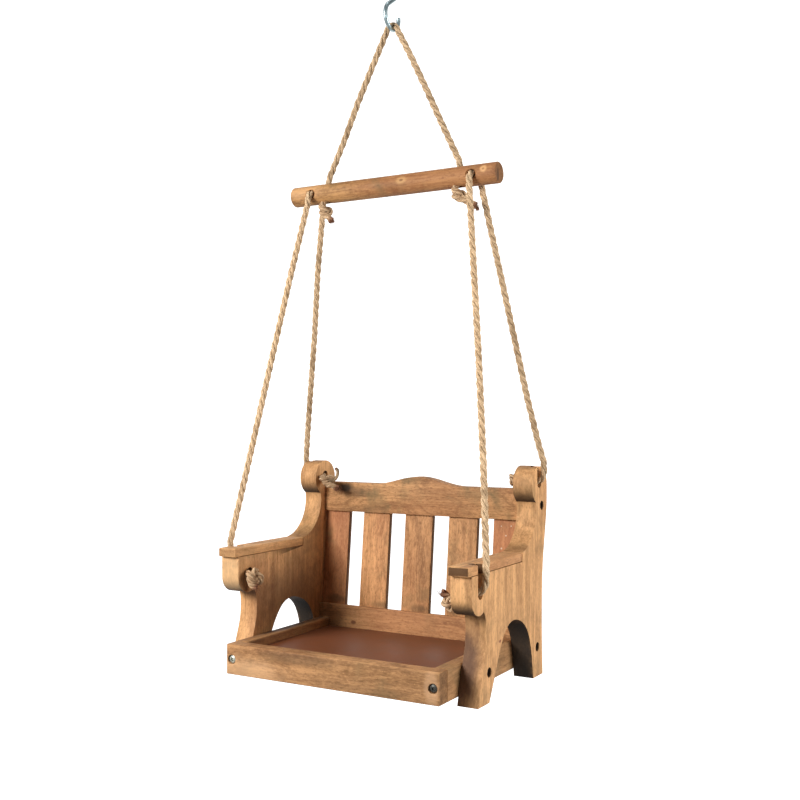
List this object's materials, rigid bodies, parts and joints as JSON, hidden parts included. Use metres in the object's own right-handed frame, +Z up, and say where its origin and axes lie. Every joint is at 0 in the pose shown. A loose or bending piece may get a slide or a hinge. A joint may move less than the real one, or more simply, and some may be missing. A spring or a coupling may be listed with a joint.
{
  "type": "porch swing bird feeder",
  "caption": "Hanging bird feeder shaped like a porch swing: a slatted bench with scrolled sides and a recessed seed tray, hung by rope slings from a spreader bar and an S-hook.",
  "frame": {"origin": "where the inside of the S-hook's upper bend rests on its support", "axes": "+Z up, the front of the bench faces -Y, +X is the bench's right-hand side as the camera sees it"},
  "size_m": [0.2692, 0.1767, 0.6525],
  "materials": {
    "panel_wood": "sawn and sanded softwood, honey brown stain, matt",
    "board_wood": "sanded softwood boards, mid-brown stain with greyish patches, matt",
    "slat_wood": "thin sanded slats, mid-brown, the outer two redder",
    "bar_wood": "turned dowel, darker brown stain, matt",
    "floor_board": "smooth reddish-brown hardboard",
    "jute_rope": "three-strand twisted natural fibre rope, hairy",
    "hook_zinc": "bright zinc-plated wire",
    "screw_steel": "blackened steel, worn bright on the recess",
    "nail_steel": "dull steel"
  },
  "bodies": {
    "hook": {"s_hook": "hook_zinc"},
    "bight": {"hanger_bight": "jute_rope"},
    "hanger": {"hanger_rope_left": "jute_rope", "hanger_rope_right": "jute_rope"},
    "spreader": {"spreader_bar": "bar_wood", "hanger_knot_left": "jute_rope", "hanger_knot_right": "jute_rope", "sling_loop_left": "jute_rope", "sling_loop_right": "jute_rope"},
    "sling_left": {"sling_rope_front_left": "jute_rope", "sling_rope_back_left": "jute_rope"},
    "sling_right": {"sling_rope_front_right": "jute_rope", "sling_rope_back_right": "jute_rope"},
    "seat": {"side_panel_left": "panel_wood", "side_panel_right": "panel_wood", "armrest_left": "panel_wood", "armrest_right": "panel_wood", "top_rail": "board_wood", "bottom_rail": "board_wood", "slat_1": "slat_wood", "slat_2": "slat_wood", "slat_3": "slat_wood", "slat_4": "slat_wood", "slat_5": "slat_wood", "tray_front_board": "board_wood", "tray_side_left": "board_wood", "tray_side_right": "board_wood", "tray_floor": "floor_board", "tray_cleat_left": "board_wood", "tray_cleat_right": "board_wood", "tray_screw_left": "screw_steel", "tray_screw_right": "screw_steel", "panel_screw_post_left": "screw_steel", "panel_screw_post_right": "screw_steel", "panel_screw_back_leg_left": "screw_steel", "panel_screw_back_leg_right": "screw_steel", "panel_screw_front_leg_left": "screw_steel", "panel_screw_front_leg_right": "screw_steel", "slat_nail_1_low": "nail_steel", "slat_nail_1_high": "nail_steel", "slat_nail_2_low": "nail_steel", "slat_nail_2_high": "nail_steel", "slat_nail_3_low": "nail_steel", "slat_nail_3_high": "nail_steel", "slat_nail_4_low": "nail_steel", "slat_nail_4_high": "nail_steel", "slat_nail_5_low": "nail_steel", "slat_nail_5_high": "nail_steel", "sling_end_front_left": "jute_rope", "sling_end_front_right": "jute_rope", "sling_end_back_left": "jute_rope", "sling_end_back_right": "jute_rope"}
  },
  "joints": [
    {"name": "rope_rolls_on_hook", "type": "hinge", "parent": "hook", "child": "bight", "pos_m": [0, 0, -0.0515], "axis": [0, 1, 0], "range_deg": [-25, 25]},
    {"name": "swing_on_hook", "type": "hinge", "parent": "bight", "child": "hanger", "pos_m": [0, 0, -0.04889], "axis": [1, 0, 0], "range_deg": [-35, 35]},
    {"name": "bar_rocks_in_rope", "type": "hinge", "parent": "hanger", "child": "spreader", "pos_m": [0, 0, -0.1847], "axis": [1, 0, 0], "range_deg": [-40, 40]},
    {"name": "sling_left_sways", "type": "hinge", "parent": "spreader", "child": "sling_left", "pos_m": [-0.086, 0, -0.1975], "axis": [0, 0.855, 0.5187], "range_deg": [-12, 12]},
    {"name": "sling_right_sways", "type": "hinge", "parent": "spreader", "child": "sling_right", "pos_m": [0.086, 0, -0.1975], "axis": [0, 0.855, 0.5187], "range_deg": [-12, 12]},
    {"name": "seat_on_slings", "type": "hinge", "parent": "sling_left", "child": "seat", "pos_m": [-0.1315, -0.074, -0.5292], "axis": [0, 0.855, 0.5187], "range_deg": [-8, 8]}
  ],
  "couplings": [
    {"joint": "sling_right_sways", "follows": "sling_left_sways", "ratio": 1},
    {"joint": "seat_on_slings", "follows": "sling_left_sways", "ratio": -0.65399}
  ]
}
